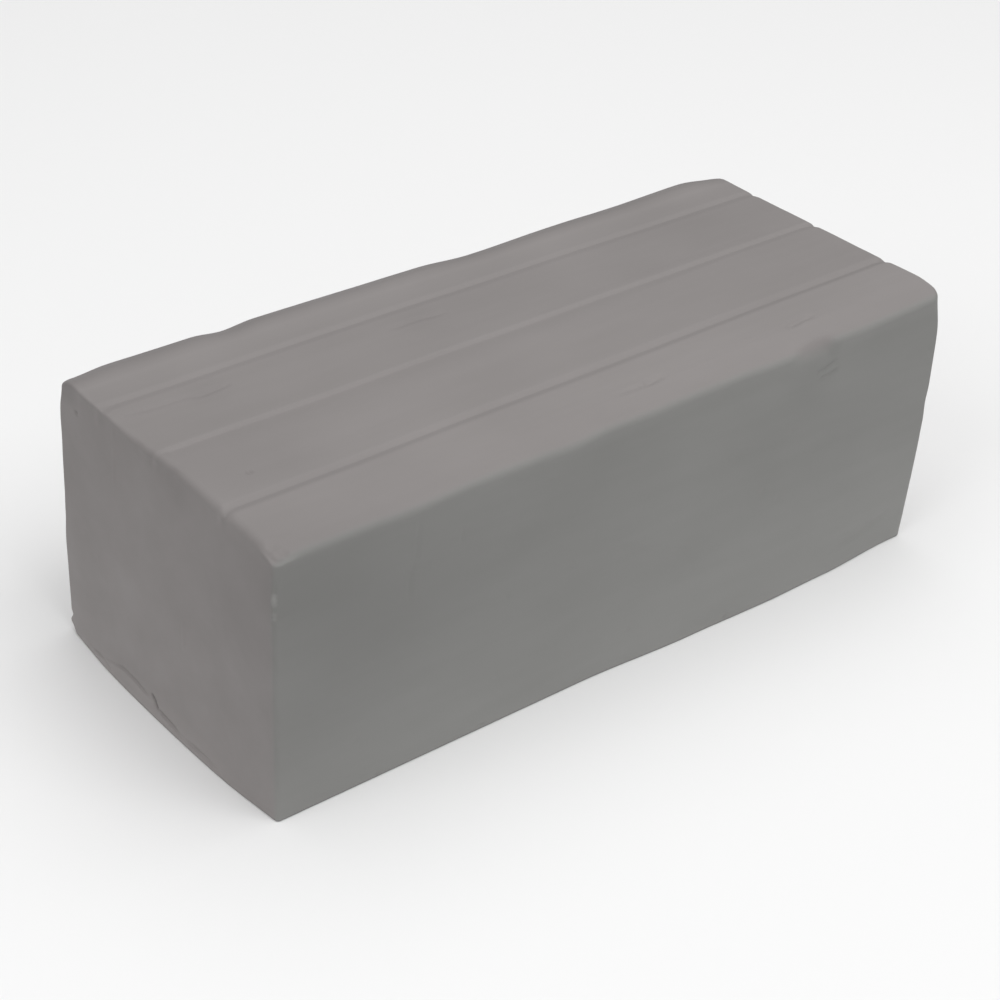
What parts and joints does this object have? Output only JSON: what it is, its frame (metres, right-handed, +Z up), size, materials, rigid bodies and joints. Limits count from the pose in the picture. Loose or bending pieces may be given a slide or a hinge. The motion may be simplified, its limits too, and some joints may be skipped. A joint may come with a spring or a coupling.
{
  "type": "detailing clay bar",
  "caption": "Rectangular bar of grey detailing clay, scored lengthwise along its top into pull-off strips, for lifting dirt off wet car paint.",
  "frame": {"origin": "on the flat underside, under the middle of the bar's bounding box", "axes": "+X along the bar and its score lines, +Y across the bar from its front long side to its back one, +Z up from the underside to the scored top"},
  "size_m": [0.0914, 0.0396, 0.0329],
  "materials": {
    "grey_clay": "soft waxy matte putty, with faint extrusion streaks"
  },
  "bodies": {
    "root": {"clay_bar": "grey_clay"}
  },
  "joints": []
}
